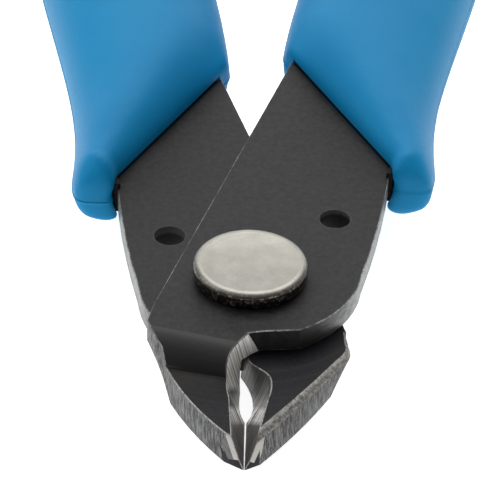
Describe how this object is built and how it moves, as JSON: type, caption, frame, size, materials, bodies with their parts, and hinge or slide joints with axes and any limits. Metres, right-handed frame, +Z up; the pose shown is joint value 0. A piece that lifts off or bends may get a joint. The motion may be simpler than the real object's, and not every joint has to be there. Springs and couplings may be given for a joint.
{
  "type": "flush cutter",
  "caption": "Small lap-joint flush cutter with joggled shearing jaws, a riveted pivot, a hidden return spring and soft cushioned grips.",
  "frame": {"origin": "centre of the footprint on the bench, at the level of the grips' rest faces", "axes": "+Z up, out of the rivet's head and along the pivot axis; +Y from the jaws towards the handles; +X towards the handle of the upper blade"},
  "size_m": [0.0422, 0.127, 0.0104],
  "materials": {
    "blade_steel": "black oxide, satin, with bright ground cutting bevels",
    "rivet_steel": "plain satin steel",
    "spring_wire": "drawn music wire",
    "core_plastic": "matt black",
    "sleeve_plastic": "soft satin blue"
  },
  "bodies": {
    "lower_half": {"lower_blade": "blade_steel", "pivot_rivet": "rivet_steel", "rivet_washer": "rivet_steel", "return_spring": "spring_wire", "left_grip_core": "core_plastic", "left_grip_sleeve": "sleeve_plastic"},
    "upper_half": {"upper_blade": "blade_steel", "right_grip_core": "core_plastic", "right_grip_sleeve": "sleeve_plastic"}
  },
  "joints": [
    {"name": "pivot", "type": "hinge", "parent": "lower_half", "child": "upper_half", "pos_m": [0, -0.0475, 0.0046], "axis": [0, 0, -1], "range_deg": [0, 16], "deforming": ["return_spring"]}
  ]
}
